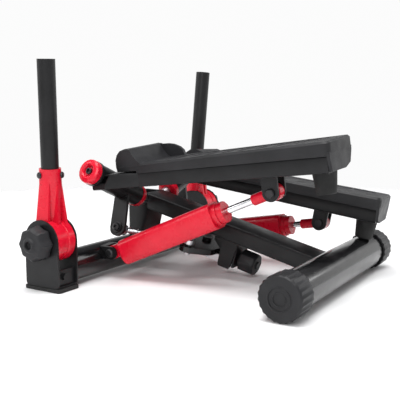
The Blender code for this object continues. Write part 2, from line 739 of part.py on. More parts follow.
# ---------------------------------------------------------------- pedals
def pivot_sleeve(side, body):
    """Sleeve that turns on the shaft, with its crank plate welded on."""
    placement = pivot_frame()
    flange = SLEEVE_CAP_RADIUS + 0.0003
    start, end = SLEEVE_INNER_END, SLEEVE_OUTER_END
    profile = [(SLEEVE_BORE, start), (SLEEVE_RADIUS, start), (SLEEVE_RADIUS, end - 0.006),
               (flange, end - 0.006), (flange, end), (SLEEVE_BORE, end)]
    outline = arc((CRANK_REACH, 0), CRANK_HALF_WIDTH, -90, 90, 12)
    outline += [(SLEEVE_RADIUS * 0.6, 0.0125), (SLEEVE_RADIUS * 0.6, -0.0125)]
    half = CRANK_THICKNESS / 2
    crank = prism(outline, CRANK_STATION - half, CRANK_STATION + half, placement)
    bore = turned([(SLEEVE_BORE, start), (SLEEVE_BORE, end)], 28, placement)
    hole_frame = placement @ Matrix.Translation((CRANK_REACH, 0, 0))
    hole = turned([(BOLT_RADIUS + GAP, 0.05), (BOLT_RADIUS + GAP, 0.11)], 16, hole_frame)
    crank = cut(crank, bore, hole)
    sleeve = unite(turned(profile, 28, placement, closed=True), crank)
    finish(sleeve, "pivot_sleeve_" + side, powder_coat, swing(side), body)


def sleeve_cap_outer(side, body):
    """Red bearing cap in the sleeve's high end, with a recess for the bolt."""
    seat = SLEEVE_OUTER_END + GAP
    bore = SHAFT_RADIUS + GAP
    plug = SLEEVE_BORE - GAP
    hole = BOLT_RADIUS + GAP
    floor = SHAFT_END + 0.0028
    plug_end = SLEEVE_OUTER_END - 0.0160
    profile = [
        (SLEEVE_CAP_RADIUS, seat), (SLEEVE_CAP_RADIUS, seat + 0.0055), (0.0178, seat + 0.0090),
        (0.0145, seat + 0.0112), (0.0105, seat + 0.0118), (0.0086, seat + 0.0102), (0.0076, floor),
        (hole, floor), (hole, SHAFT_END + 0.0005), (bore, SHAFT_END + 0.0005), (bore, plug_end),
        (plug, plug_end), (plug, seat),
    ]
    cap = turned(profile, 20, pivot_frame(), closed=True)
    finish(cap, "sleeve_cap_outer_" + side, red_plastic, swing(side), body)


def sleeve_cap_inner(side, body):
    """Red bearing cap in the sleeve's low end."""
    seat = SLEEVE_INNER_END - GAP
    bore = SHAFT_RADIUS + GAP
    plug = SLEEVE_BORE - GAP
    plug_end = SLEEVE_INNER_END + 0.0160
    profile = [
        (SLEEVE_CAP_RADIUS, seat), (SLEEVE_CAP_RADIUS, seat - 0.0055), (0.0170, seat - 0.0090),
        (0.0130, seat - 0.0105), (bore, seat - 0.0105), (bore, plug_end), (plug, plug_end), (plug, seat),
    ]
    cap = turned(profile, 20, pivot_frame(), closed=True)
    finish(cap, "sleeve_cap_inner_" + side, red_plastic, swing(side), body)


def sleeve_cutter():
    """The space the sleeve takes, seen from the untilted tread."""
    placement = tread_tilt().inverted() @ pivot_frame()
    end = SLEEVE_OUTER_END + 0.02
    return turned([(SLEEVE_RADIUS + GAP, 0.0), (SLEEVE_RADIUS + GAP, end)], 28, placement)


def steel_ring(y, flare, inset):
    """One section of the steel tube, wider on its outer side by the flare."""
    low_x = STEEL_CENTRE_X - STEEL_HALF_WIDTH - flare + inset
    high_x = STEEL_CENTRE_X + STEEL_HALF_WIDTH - inset
    outline = rounded_box_outline(high_x - low_x, STEEL_HEIGHT - 2 * inset, 0.0025 - inset / 2, 2)
    middle_x = (low_x + high_x) / 2
    middle_z = STEEL_TOP_Z - STEEL_HEIGHT / 2
    straight_side = STEEL_CENTRE_X - STEEL_HALF_WIDTH
    ring = []
    for x, z in outline:
        lift = STEEL_FLARE_LIFT * max(0.0, straight_side - (middle_x + x))
        ring.append(at(middle_x + x, y, middle_z + z + lift))
    return ring


def pedal_beam(side, body):
    """Steel tube under the tread, flared and coped onto the sleeve, with two ears for the cylinder."""
    stations = ((STEEL_HEEL_Y, 0.0),) + STEEL_FLARE + ((PIVOT_Y, STEEL_FLARE[-1][1]),)
    rings = [steel_ring(y, flare, 0.0) for y, flare in stations]
    rings += [steel_ring(y, flare, TUBE_WALL) for y, flare in reversed(stations)]
    beyond = tread_tilt().inverted() @ pivot_frame()
    end_cutter = turned([(0.08, STEEL_FLARE_STATION), (0.08, STEEL_FLARE_STATION + 0.05)], 12, beyond)
    beam = cut(skin(rings, closed=True), sleeve_cutter(), end_cutter)
    eye = at(*ROD_POINT)
    bottom = STEEL_TOP_Z - STEEL_HEIGHT + 0.001 - eye.z
    ear_outline = [(EYE_RADIUS, bottom)] + arc((0, 0), EYE_RADIUS, 0, -180, 12) + [(-EYE_RADIUS, bottom)]
    parts = []
    for low in (-EAR_HALF_GAP - EAR_THICKNESS, EAR_HALF_GAP):
        rings = [[eye + Vector((x, y, z)) for y, z in ear_outline] for x in (low, low + EAR_THICKNESS)]
        parts.append(skin(rings))
    hole = rod_between(eye - Vector((0.05, 0, 0)), eye + Vector((0.05, 0, 0)), PIN_RADIUS + GAP, 16)
    finish(cut(unite(beam, *parts), hole), "pedal_beam_" + side, powder_coat, tread(side), body)


def rod_end_bolt(side, body):
    """Bolt through the pedal's ears and the cylinder's upper eye."""
    placement = frame(at(*ROD_POINT), (1, 0, 0), (0, 0, 1))
    half = EAR_HALF_GAP + EAR_THICKNESS + GAP
    bolt = headed_pin(half, PIN_RADIUS, 0.0066, 0.0040, placement)
    finish(bolt, "rod_end_bolt_" + side, black_oxide, tread(side), body)


def tread_height(y):
    """Height of the tread's upper face."""
    return PEDAL_TOP_Z + (y - PEDAL_HEEL_Y) * PEDAL_TOP_SLOPE


def tread_outline(inset, heel_radius, toe_radius):
    """Plan view of the tread, with large heel corners and small toe corners."""
    half = PEDAL_HALF_WIDTH - inset
    heel, toe = PEDAL_HEEL_Y + inset, PEDAL_TOE_Y - inset
    outline = arc((half - heel_radius, heel + heel_radius), heel_radius, -90, 0, 5)
    outline += arc((half - toe_radius, toe - toe_radius), toe_radius, 0, 90, 3)
    outline += arc((-half + toe_radius, toe - toe_radius), toe_radius, 90, 180, 3)
    outline += arc((-half + heel_radius, heel + heel_radius), heel_radius, 180, 270, 5)
    return outline


def edge_depth(y):
    """Depth of the tread's rim, which grows from the toe to the heel."""
    share = (y - PEDAL_HEEL_Y) / (PEDAL_TOE_Y - PEDAL_HEEL_Y)
    return HEEL_EDGE + (TOE_EDGE - HEEL_EDGE) * share


def tread_ring(inset, drop, depth_share=0.0, heel_radius=0.0085, toe_radius=0.006):
    """One level of the tread's shell, lowered by a fixed drop and a share of the rim's depth."""
    ring = []
    for x, y in tread_outline(inset, heel_radius - inset * 0.9, toe_radius - inset * 0.9):
        level = tread_height(y) - drop - depth_share * edge_depth(y)
        ring.append(at(PEDAL_CENTRE_X + x, y, level))
    return ring


def toe_hood():
    """Raised toe stop across the tread: round in front, hollowed behind."""
    z = tread_height(PEDAL_TOE_Y)
    toe = PEDAL_TOE_Y
    outline = [(toe, z - 0.0120), (toe + 0.0018, z - 0.0020), (toe + 0.0012, z + 0.0080)]
    outline += [(toe - 0.0022, z + 0.0155), (toe - 0.0085, z + 0.0212), (toe - 0.0180, z + HOOD_HEIGHT)]
    outline += [(toe - 0.0250, z + 0.0222), (toe - 0.0280, z + 0.0178), (toe - 0.0310, z + 0.0115)]
    outline += [(toe - 0.0350, z + 0.0058), (toe - 0.0410, z + 0.0008), (toe - 0.0430, z - 0.0030)]
    edge = PEDAL_HALF_WIDTH - 0.0002
    return side_prism(outline, PEDAL_CENTRE_X - edge, PEDAL_CENTRE_X + edge)


def hood_wing():
    """Return of the toe stop along the inner edge of the tread."""
    z = tread_height(0.24)
    outline = [(0.2660, z - 0.003), (0.2660, z + 0.0205), (0.2500, z + 0.0200), (0.2400, z + 0.0180)]
    outline += [(0.2300, z + 0.0135), (0.2240, z + 0.0080), (0.2200, z - 0.0030)]
    inner_edge = PEDAL_CENTRE_X + PEDAL_HALF_WIDTH - 0.0003
    return side_prism(outline, inner_edge - 0.0060, inner_edge)


def heel_plug():
    """Deep end wall of the tread that closes the steel tube's heel end."""
    z = tread_height(PEDAL_HEEL_Y)
    outline = [(0.0438, z - 0.0140), (0.0424, z - 0.0200), (0.0340, z - 0.0352), (0.0140, z - 0.0404),
               (-0.0385, z - 0.0390), (-0.0438, z - 0.0200), (-0.0438, z - 0.0140)]
    rings = []
    for y, shrink in ((PEDAL_HEEL_Y + 0.0008, 0.96), (STEEL_HEEL_Y - GAP, 1.0)):
        rings.append([at(PEDAL_CENTRE_X + x * shrink, y, height) for x, height in outline])
    return skin(rings)


def tread_ribs():
    """Cross ribs that stand the shell on the steel tube."""
    ribs = []
    half = PEDAL_HALF_WIDTH - PEDAL_SHELL / 2
    for y in (0.030, 0.105, 0.180, 0.245):
        low = at(PEDAL_CENTRE_X - half, y - 0.002, STEEL_TOP_Z + GAP)
        ribs.append(box(low, at(PEDAL_CENTRE_X + half, y + 0.002, tread_height(y) - 0.004)))
    return ribs


def panel_ring(inset, rise):
    """One level of the sunk anti-slip panel."""
    ring = []
    for x, y in rounded_box_outline(0.0660 - 2 * inset, 0.2330 - 2 * inset, 0.0080 - inset, 2):
        middle_y = y + 0.0985
        ring.append(at(PEDAL_CENTRE_X + x, middle_y, tread_height(middle_y) + rise))
    return ring


def ridge(y):
    """One anti-slip ridge inside the sunk panel."""
    base = tread_height(y) - PANEL_DEPTH - 0.0010
    crest = tread_height(y) - 0.0002
    outline = [(y - 0.0030, base), (y + 0.0030, base), (y + 0.0014, crest), (y - 0.0014, crest)]
    return side_prism(outline, PEDAL_CENTRE_X - 0.0290, PEDAL_CENTRE_X + 0.0290)


def flare_cutter():
    """The space under the tread that the steel tube's lifted flare takes."""
    flare_start, flare_width = STEEL_FLARE[0][0], STEEL_FLARE[-1][1]
    inner, outer = STEEL_CENTRE_X + STEEL_HALF_WIDTH, STEEL_CENTRE_X - STEEL_HALF_WIDTH - flare_width
    bottom, top = STEEL_TOP_Z - STEEL_HEIGHT, STEEL_TOP_Z + GAP
    outline = [(inner, bottom), (inner, top), (outer, top + STEEL_FLARE_LIFT * flare_width), (outer, bottom)]
    return skin([[at(x, y, z) for x, z in outline] for y in (flare_start, PIVOT_Y)])


def footplate(side, body):
    """Moulded tread with a toe stop, a ribbed underside and a sunk anti-slip panel."""
    rings = [tread_ring(0.0012, 0.0, 1.0), tread_ring(0.0, 0.0, 0.7), tread_ring(0.0, 0.0030), tread_ring(0.0026, 0.0)]
    hollow = skin([tread_ring(PEDAL_SHELL, 0.0040, 1.0), tread_ring(PEDAL_SHELL, 0.0060)])
    panel = skin([panel_ring(0.0012, -PANEL_DEPTH), panel_ring(0.0, 0.0010)])
    plate = cut(skin(rings), hollow, panel)
    ridges = [ridge(-0.0070 + index * 0.0264) for index in range(9)]
    plate = unite(plate, toe_hood(), hood_wing(), heel_plug(), *tread_ribs(), *ridges)
    steel = box(at(STEEL_CENTRE_X - STEEL_HALF_WIDTH - GAP, STEEL_HEEL_Y - GAP, 0.12),
                at(STEEL_CENTRE_X + STEEL_HALF_WIDTH + GAP, 0.33, STEEL_TOP_Z + GAP))
    finish(cut(plate, steel, flare_cutter()), "footplate_" + side, black_plastic, tread(side), body)


def bumper(side, body):
    """Rubber cone under the heel that meets the rear tube at the bottom of the stroke."""
    top = STEEL_TOP_Z - STEEL_HEIGHT - GAP
    placement = Matrix.Translation(at(BUMPER_X, BUMPER_Y, 0))
    profile = [(BUMPER_FOOT_RADIUS - 0.0015, BUMPER_FOOT_Z), (BUMPER_FOOT_RADIUS, BUMPER_FOOT_Z + 0.0015),
               (BUMPER_TOP_RADIUS, top)]
    cone = turned(profile, 24, placement)
    low = tread("right").inverted()
    start, end = (low @ at(x, 0, REAR_TUBE_Z) for x in (-0.05, 0.25))
    seat = rod_between(start, end, REAR_TUBE_RADIUS + GAP, 36)
    finish(cut(cone, seat), "bumper_" + side, black_rubber, tread(side), body)


def crank_bolt(side, body):
    """Bolt through the crank plate and the link rod's front eye."""
    placement = pivot_frame() @ Matrix.Translation((CRANK_REACH, 0, 0))
    outside = CRANK_STATION + CRANK_THICKNESS / 2 + GAP
    collar = CRANK_STATION - CRANK_THICKNESS / 2 - GAP
    link_face = CRANK_STATION - LINK_SETBACK + LINK_EYE_HALF + LINK_EYE_PLAY
    inside = CRANK_STATION - LINK_SETBACK - LINK_EYE_HALF - LINK_EYE_PLAY
    profile = [(0.0046, inside - 0.0046), (0.0046, inside), (BOLT_RADIUS, inside), (BOLT_RADIUS, link_face),
               (0.0050, link_face), (0.0050, collar), (BOLT_RADIUS, collar), (BOLT_RADIUS, outside),
               (0.0085, outside), (0.0085, outside + 0.0012), (0.0060, outside + 0.0012),
               (0.0060, outside + 0.0040), (0.0045, outside + 0.0052), (0.0024, outside + 0.0052),
               (0.0024, outside + 0.0030)]
    finish(turned(profile, 16, placement), "crank_bolt_" + side, black_oxide, swing(side), body)


# ---------------------------------------------------------------- cylinders
def cylinder_barrel(side, body):
    """Red square-sided barrel with a faceted collar and an eye at its lower end."""
    placement, _ = cylinder_frame(side)
    rings = []
    for side_length, height in ((BARREL_SIDE - 0.0120, BARREL_START), (BARREL_SIDE, BARREL_START + 0.0060),
                                (BARREL_SIDE, BARREL_END)):
        outline = rounded_box_outline(side_length, side_length, side_length * 0.28)
        rings.append([placement @ Vector((x, y, height)) for x, y in outline])
    block = skin(rings)
    eye_frame = placement @ frame(Vector((0, BARREL_OFFSET, 0)), (1, 0, 0), (0, 0, 1))
    eye = turned([(0.0105, -EYE_HALF_THICKNESS), (0.0105, EYE_HALF_THICKNESS)], 20, eye_frame)
    half = EYE_HALF_THICKNESS
    neck_outline = [(-half, BARREL_OFFSET - 0.009), (half, BARREL_OFFSET - 0.009),
                    (half, BARREL_OFFSET + 0.009), (-half, BARREL_OFFSET + 0.009)]
    neck = prism(neck_outline, 0.003, BARREL_START + 0.009, placement)
    collar_low = prism(circle(0.0172, 12), BARREL_END - 0.002, BARREL_END + 0.007, placement)
    collar_high = prism(circle(0.0155, 12), BARREL_END + 0.005, COLLAR_END, placement)
    bore = turned([(BORE_RADIUS, 0.030), (BORE_RADIUS, BARREL_END - 0.004)], 20, placement)
    gland = turned([(ROD_RADIUS + GAP, 0.1), (ROD_RADIUS + GAP, 0.25)], 16, placement)
    bolt_start, bolt_end = (mirror(side) @ mount_frame() @ Vector((0, 0, z)) for z in (-0.03, 0.03))
    hole = rod_between(bolt_start, bolt_end, PIN_RADIUS + EYE_PLAY, 18)
    barrel = cut(unite(block, eye, neck, collar_low, collar_high), bore, gland, hole)
    finish(barrel, "cylinder_barrel_" + side, red_plastic, body=body)


def piston_rod(side, body):
    """Chromed rod with its piston."""
    placement, length = cylinder_frame(side)
    tip = length - ROD_TIP_SETBACK
    start = tip - ROD_LENGTH
    piston = BORE_RADIUS - 0.0004
    profile = [(piston, start), (piston, start + 0.010), (ROD_RADIUS, start + 0.010), (ROD_RADIUS, tip)]
    finish(turned(profile, 16, placement), "piston_rod_" + side, chrome, body=body)


def rod_end(side, body):
    """Red eye and sleeve on the end of the rod."""
    placement, length = cylinder_frame(side)
    tip = length - ROD_TIP_SETBACK
    eye_frame = placement @ frame(Vector((0, 0, length)), (1, 0, 0), (0, 0, 1))
    eye = turned([(EYE_RADIUS, -EYE_HALF_THICKNESS), (EYE_RADIUS, EYE_HALF_THICKNESS)], 24, eye_frame)
    sleeve = turned([(0.0070, tip - 0.012), (0.0078, tip - 0.011), (0.0078, length - 0.006)], 16, placement)
    socket = turned([(ROD_RADIUS + GAP, tip - 0.03), (ROD_RADIUS + GAP, tip + GAP)], 16, placement)
    hole = turned([(PIN_RADIUS + 0.0013, -0.03), (PIN_RADIUS + 0.0013, 0.03)], 16, eye_frame)
    finish(cut(unite(eye, sleeve), socket, hole), "rod_end_" + side, red_plastic, body=body)


# ---------------------------------------------------------------- uprights
def upright_frame():
    """Placement on the left upright's axis: Z up the tube, origin at the floor."""
    foot_x, foot_y = UPRIGHT_FOOT
    axis = (-math.tan(UPRIGHT_SPLAY), -math.tan(UPRIGHT_LEAN), 1.0)
    return frame(at(-foot_x, foot_y, 0), axis, (1, 0, 0))


def upright_hub(side, body):
    """Red hub: a finned disc in the bracket with ribs rising to the tube's socket."""
    axis_frame = upright_frame()
    outer = -BRACKET_OUTER_X + BRACKET_PLATE / 2 + GAP
    inner = -BRACKET_INNER_X - BRACKET_PLATE / 2 - GAP
    placement = frame(at(0, HUB_Y, HUB_Z), (1, 0, 0), (0, 0, 1))
    fins = 3
    width = (inner - outer) / fins
    profile = []
    for index in range(fins):
        start = outer + index * width
        depth = HUB_FIN_DEPTH if index % 2 else 0.0
        profile += [(HUB_RADIUS - depth, start + 0.0004), (HUB_RADIUS - depth, start + width - 0.0004)]
    profile[0] = (HUB_RADIUS, outer)
    profile[-1] = (profile[-1][0], inner)
    disc = turned(profile, 28, placement)
    socket = turned([(SOCKET_RADIUS + 0.0015, 0.078), (SOCKET_RADIUS, SOCKET_TOP_Z)], 20, axis_frame)
    ribs = []
    for offset, front, rear in ((-0.0120, 0.0140, -0.0090), (0.0, 0.0260, -0.0170), (0.0115, 0.0270, -0.0200)):
        rings = []
        for lateral in (offset - 0.0022, offset + 0.0022):
            top = axis_frame @ Vector((lateral * 0.8, 0, SOCKET_TOP_Z - 0.011))
            base_x = (outer + inner) / 2 + lateral * 1.15
            half_top = SOCKET_RADIUS - 0.0012 - abs(offset) * 0.45
            rings.append([
                Vector((top.x, top.y - half_top, top.z)), Vector((top.x, top.y + half_top, top.z)),
                at(base_x, HUB_Y + front, HUB_Z + 0.0180), at(base_x, HUB_Y + rear, HUB_Z + 0.0180),
            ])
        ribs.append(skin(rings))
    bore = turned([(UPRIGHT_RADIUS + GAP, 0.1080), (UPRIGHT_RADIUS + GAP, 0.2)], 20, axis_frame)
    stud_start = at(-0.3, HUB_Y, HUB_Z)
    stud = rod_between(stud_start, stud_start + Vector((0.2, 0, 0)), KNOB_STUD_RADIUS + GAP, 16)
    bolt_holes = [hub_bolt_hole(direction) for direction in HUB_BOLTS.values()]
    plate_reach = (BRACKET_FRONT_Y - BRACKET_REAR_Y) / 2 + 0.0016
    plate_room = turned([(plate_reach, inner), (plate_reach, inner + 0.05)], 32, placement)
    hub = cut(unite(disc, socket, *ribs), bore, stud, plate_room, *bolt_holes)
    finish(hub, "upright_hub_" + side, red_plastic, mirror(side), body)


def hub_bolt_frame(direction):
    """Placement of a socket bolt: Z outward through the socket's wall."""
    centre = upright_frame() @ Vector((0, 0, SOCKET_TOP_Z - 0.0095))
    return frame(centre, direction, (0, 0, 1))


def hub_bolt_hole(direction):
    """Clearance for a socket bolt."""
    radius = 0.0024 + GAP
    return turned([(radius, 0.004), (radius, 0.03)], 10, hub_bolt_frame(direction))


def hub_bolt(side, name, direction, body):
    """Domed bolt that fixes the tube in its socket."""
    seat = SOCKET_RADIUS + 0.0006
    profile = [(0.0024, UPRIGHT_RADIUS - UPRIGHT_WALL - 0.002), (0.0024, seat), (0.0048, seat),
               (0.0046, seat + 0.0018), (0.0032, seat + 0.0032), (0.0015, seat + 0.0036)]
    bolt = turned(profile, 12, hub_bolt_frame(direction))
    finish(bolt, "hub_bolt_" + name + "_" + side, black_oxide, mirror(side), body)


def upright_tube(side, body):
    """Steel upright, open at its top where the handlebar section plugs in."""
    placement = upright_frame()
    outer, inner = UPRIGHT_RADIUS, UPRIGHT_RADIUS - UPRIGHT_WALL
    low, high = 0.1083, UPRIGHT_TOP_Z
    tube = turned([(outer, low), (outer, high), (inner, high), (inner, low)], 20, placement, closed=True)
    tube = cut(tube, *[hub_bolt_hole(direction) for direction in HUB_BOLTS.values()])
    finish(tube, "upright_tube_" + side, powder_coat, mirror(side), body)


def clamp_knob(side, body):
    """Eight-lobed clamping knob with its stud moulded in."""
    placement = frame(at(0, HUB_Y, HUB_Z), (-1, 0, 0), (0, 0, 1))
    plate = BRACKET_OUTER_X + BRACKET_PLATE / 2 + GAP
    stud_end = BRACKET_INNER_X - 0.0080
    lobes = 8
    front = plate + 0.0255
    profile = [
        (KNOB_STUD_RADIUS, stud_end, 0), (KNOB_STUD_RADIUS, plate, 0), (0.0170, plate, 0),
        (KNOB_RADIUS - 0.0015, plate + 0.0012, 1), (KNOB_RADIUS, plate + 0.0030, 1),
        (KNOB_RADIUS - 0.0014, plate + 0.0175, 1), (0.0205, plate + 0.0218, 0.8), (0.0110, plate + 0.0226, 0),
        (0.0088, front, 0), (0.0062, front, 0), (0.0050, front - 0.0060, 0),
    ]
    wave = (0, 0.6, 1.0, 0.6)
    rings = []
    for radius, height, lobed in profile:
        ring = []
        for index, (x, y) in enumerate(circle(1.0, 4 * lobes)):
            reach = radius * (1 - 0.13 * lobed * wave[index % 4])
            ring.append(placement @ Vector((x * reach, y * reach, height)))
        rings.append(ring)
    finish(skin(rings), "clamp_knob_" + side, black_plastic, mirror(side), body)


# ---------------------------------------------------------------- assembly
def build_frame():
    """Everything that stands still."""
    front_crossbar()
    pivot_post()
    main_beam()
    rear_tube()
    adjuster_bracket()
    for side in ("left", "right"):
        rear_cap(side)
        upright_bracket(side)
        foot_pad(side)
        cylinder_mount(side)
        cylinder_mount_bolt(side)
        pivot_shaft(side)
        pivot_end_bolt(side)


def build_adjuster():
    """Height adjuster, rocker and link rods."""
    knob_axis = slope_frame() @ Vector((0, 0, ADJUSTER_DROP))
    adjuster_knob(axis_empty("adjuster_knob_axis", knob_axis))
    centre = at(*ROCKER_CENTRE)
    pivot_block(axis_empty("pivot_block_slide", centre))
    rocker_axis = axis_empty("rocker_axis", centre)
    rocker_lever(rocker_axis)
    rocker_pivot_bolt(rocker_axis)
    for side in ("left", "right"):
        rocker_tip_bolt(side, rocker_axis)
        link_rod(side, axis_empty("link_axis_" + side, link_ends(side)[0]))


def build_pedal(side):
    """One pedal with its sleeve, tread and bolts."""
    body = axis_empty("pedal_axis_" + side, at(0, PIVOT_Y, PIVOT_CENTRE_Z))
    for piece in (pivot_sleeve, sleeve_cap_outer, sleeve_cap_inner, pedal_beam, footplate, bumper,
                  rod_end_bolt, crank_bolt):
        piece(side, body)


def build_cylinder(side):
    """One damping cylinder: barrel on its lower pivot, rod sliding in it."""
    low = mirror(side) @ at(*MOUNT_POINT)
    cylinder_barrel(side, axis_empty("cylinder_axis_" + side, low))
    rod_body = axis_empty("rod_slide_" + side, cylinder_frame(side)[0].translation)
    piston_rod(side, rod_body)
    rod_end(side, rod_body)


def build_upright(side):
    """One upright with its hub, and the knob that clamps it."""
    pivot = mirror(side) @ at(-(BRACKET_OUTER_X + BRACKET_INNER_X) / 2, HUB_Y, HUB_Z)
    body = axis_empty("upright_axis_" + side, pivot)
    upright_hub(side, body)
    upright_tube(side, body)
    for name, direction in HUB_BOLTS.items():
        hub_bolt(side, name, direction, body)
    clamp_knob(side, axis_empty("clamp_knob_axis_" + side, pivot))


def main():
    """Build the whole object."""
    for leftover in list(bpy.data.objects):
        bpy.data.objects.remove(leftover)
    build_frame()
    build_adjuster()
    for side in ("left", "right"):
        build_pedal(side)
        build_cylinder(side)
        build_upright(side)


main()
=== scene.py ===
"""Looks of the twist stepper: finishes, softened edges, floor, light and camera.

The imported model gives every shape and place. Large visible pieces are shown as copies whose
edges are rounded a little, because real castings, mouldings and coated steel have no
knife edges. All lengths are metres.
"""

import json
import math

import bmesh
import bpy
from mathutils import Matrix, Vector


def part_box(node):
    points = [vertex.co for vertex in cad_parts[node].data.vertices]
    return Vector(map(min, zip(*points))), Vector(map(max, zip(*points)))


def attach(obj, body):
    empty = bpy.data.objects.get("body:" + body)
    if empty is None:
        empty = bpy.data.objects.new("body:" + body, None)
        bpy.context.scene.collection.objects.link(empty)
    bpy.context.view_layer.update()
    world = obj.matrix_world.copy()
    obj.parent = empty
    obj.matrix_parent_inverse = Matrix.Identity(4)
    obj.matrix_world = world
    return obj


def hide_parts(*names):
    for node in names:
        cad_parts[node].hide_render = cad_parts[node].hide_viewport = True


# Nodes shown as edge-softened copies, with the width of the rounding
EDGE_ROUNDING = {
    "footplate": 0.0012,
    "rear_cap": 0.0006,
    "upright_hub": 0.0006,
    "upright_bracket": 0.0004,
    "upright_tube": 0.0003,
    "clamp_knob": 0.0008,
    "sleeve_cap_outer": 0.0006,
    "sleeve_cap_inner": 0.0005,
    "cylinder_barrel": 0.0008,
    "rod_end": 0.0006,
    "piston_rod": 0.0002,
    "pivot_sleeve": 0.0003,
    "pedal_beam": 0.0005,
    "bumper": 0.0006,
    "foot_pad": 0.0005,
    "link_rod": 0.0003,
    "rear_tube": 0.0003,
    "front_crossbar": 0.0003,
    "pivot_post": 0.0006,
    "main_beam": 0.0006,
    "rocker_lever": 0.0005,
    "adjuster_knob": 0.0006,
}
SMOOTH_ANGLE = math.radians(34)
BEVEL_STEPS = 2
MERGE_DISTANCE = 0.000004
FLAT_ANGLE = math.radians(0.4)

# Sizes of the noise that finishes share: tone drift and uneven polish, and where it is cut off
DRIFT_SCALE = 22.0
DRIFT_RANGE = (0.35, 0.68)
POLISH_SCALE = 60.0
POLISH_RANGE = (0.3, 0.7)

CAMERA_PLACE = (-0.8924, -0.4961, 0.2563)
CAMERA_TURN = (math.radians(90 - 7.78), 0, math.radians(-58.38))
CAMERA_LENS = 60.23
CAMERA_SENSOR = 36.0

FLOOR_RADIUS = 1.25
FLOOR_DROP = 0.0004
FLOOR_TONE = (0.90, 0.90, 0.905)
STUDIO_LIGHTS = (
    # name, place, width, height, power
    ("overhead", (-0.3, -0.1, 2.2), 1.7, 1.5, 62),
    ("left_window", (-2.0, -0.6, 1.5), 0.7, 1.5, 24),
    ("front_window", (-1.2, 1.8, 1.5), 0.8, 1.4, 16),
    ("right_fill", (1.9, -1.2, 1.5), 0.9, 1.5, 16),
)
AIM = (0, 0, 0.12)
WALL_TOP = 0.22
CEILING_START = 0.42
WALL_TONE = (0.97, 0.97, 0.97)
CEILING_TONE = (0.16, 0.16, 0.165)

# Raised rings on the round face of a rear cap: radius of the ring and of its bead
CAP_RINGS = ((0.0085, 0.0007), (0.0150, 0.0006))
CAP_RING_SINK = 0.0002
CAP_RING_TURNS = 48
CAP_RING_SIDES = 8


# ---------------------------------------------------------------- node helpers
def new_material(name, base, roughness, metallic, specular=0.5):
    """A node material and its Principled shader, with the plain values set."""
    material = bpy.data.materials.new(name)
    material.use_nodes = True
    shader = material.node_tree.nodes["Principled BSDF"]
    shader.inputs["Base Color"].default_value = (*base, 1)
    shader.inputs["Roughness"].default_value = roughness
    shader.inputs["Metallic"].default_value = metallic
    shader.inputs["Specular IOR Level"].default_value = specular
    return material, shader


def noise(tree, scale, detail=4.0, stretch=(1, 1, 1)):
    """Noise fixed to the object, stretched along an axis where a finish has a direction."""
    place = tree.nodes.new("ShaderNodeTexCoord")
    mapping = tree.nodes.new("ShaderNodeMapping")
    mapping.inputs["Scale"].default_value = stretch
    texture = tree.nodes.new("ShaderNodeTexNoise")
    texture.inputs["Scale"].default_value = scale
    texture.inputs["Detail"].default_value = detail
    tree.links.new(place.outputs["Object"], mapping.inputs["Vector"])
    tree.links.new(mapping.outputs["Vector"], texture.inputs["Vector"])
    return texture.outputs["Fac"]


def ramp(tree, value, low, high, dark, light):
    """Colours a value between two tones."""
    node = tree.nodes.new("ShaderNodeValToRGB")
    node.color_ramp.elements[0].position = low
    node.color_ramp.elements[1].position = high
    node.color_ramp.elements[0].color = (*dark, 1)
    node.color_ramp.elements[1].color = (*light, 1)
    tree.links.new(value, node.inputs["Fac"])
    return node.outputs["Color"]


def spread(tree, value, low, high):
    """Maps a noise value to a range."""
    node = tree.nodes.new("ShaderNodeMapRange")
    node.inputs["From Min"].default_value = POLISH_RANGE[0]
    node.inputs["From Max"].default_value = POLISH_RANGE[1]
    node.inputs["To Min"].default_value = low
    node.inputs["To Max"].default_value = high
    tree.links.new(value, node.inputs["Value"])
    return node.outputs["Result"]


def add_bump(tree, shader, value, strength, distance):
    """Fine relief from a value."""
    node = tree.nodes.new("ShaderNodeBump")
    node.inputs["Strength"].default_value = strength
    node.inputs["Distance"].default_value = distance
    tree.links.new(value, node.inputs["Height"])
    tree.links.new(node.outputs["Normal"], shader.inputs["Normal"])


def dress(material, shader, tones, roughness, grain, relief, stretch=(1, 1, 1)):
    """Gives a material its drifting tone, uneven polish and fine grain."""
    tree = material.node_tree
    drift = noise(tree, DRIFT_SCALE, 5.0)
    tree.links.new(ramp(tree, drift, *DRIFT_RANGE, *tones), shader.inputs["Base Color"])
    handling = noise(tree, POLISH_SCALE, 6.0, stretch)
    tree.links.new(spread(tree, handling, *roughness), shader.inputs["Roughness"])
    add_bump(tree, shader, noise(tree, grain, 3.0, stretch), *relief)


# ---------------------------------------------------------------- finishes
def powder_coat():
    """Satin black powder coat with a faint orange peel."""
    material, shader = new_material("satin_powder_coat", (0.010, 0.010, 0.011), 0.4, 0.0, 0.26)
    tones = ((0.005, 0.005, 0.0055), (0.010, 0.010, 0.011))
    dress(material, shader, tones, (0.30, 0.44), 900.0, (0.22, 0.0003))
    return material


def gloss_black():
    """Smooth black enamel under a clear coat."""
    material, shader = new_material("gloss_enamel", (0.006, 0.006, 0.007), 0.2, 0.0, 0.4)
    shader.inputs["Coat Weight"].default_value = 0.2
    shader.inputs["Coat Roughness"].default_value = 0.08
    tones = ((0.004, 0.004, 0.0045), (0.008, 0.008, 0.009))
    dress(material, shader, tones, (0.15, 0.26), 320.0, (0.06, 0.0003))
    return material


def black_plastic():
    """Charcoal moulded plastic with a fine leathery grain."""
    material, shader = new_material("grained_plastic", (0.018, 0.018, 0.020), 0.5, 0.0, 0.26)
    tones = ((0.011, 0.011, 0.012), (0.018, 0.018, 0.020))
    dress(material, shader, tones, (0.42, 0.56), 1300.0, (0.30, 0.0004))
    return material


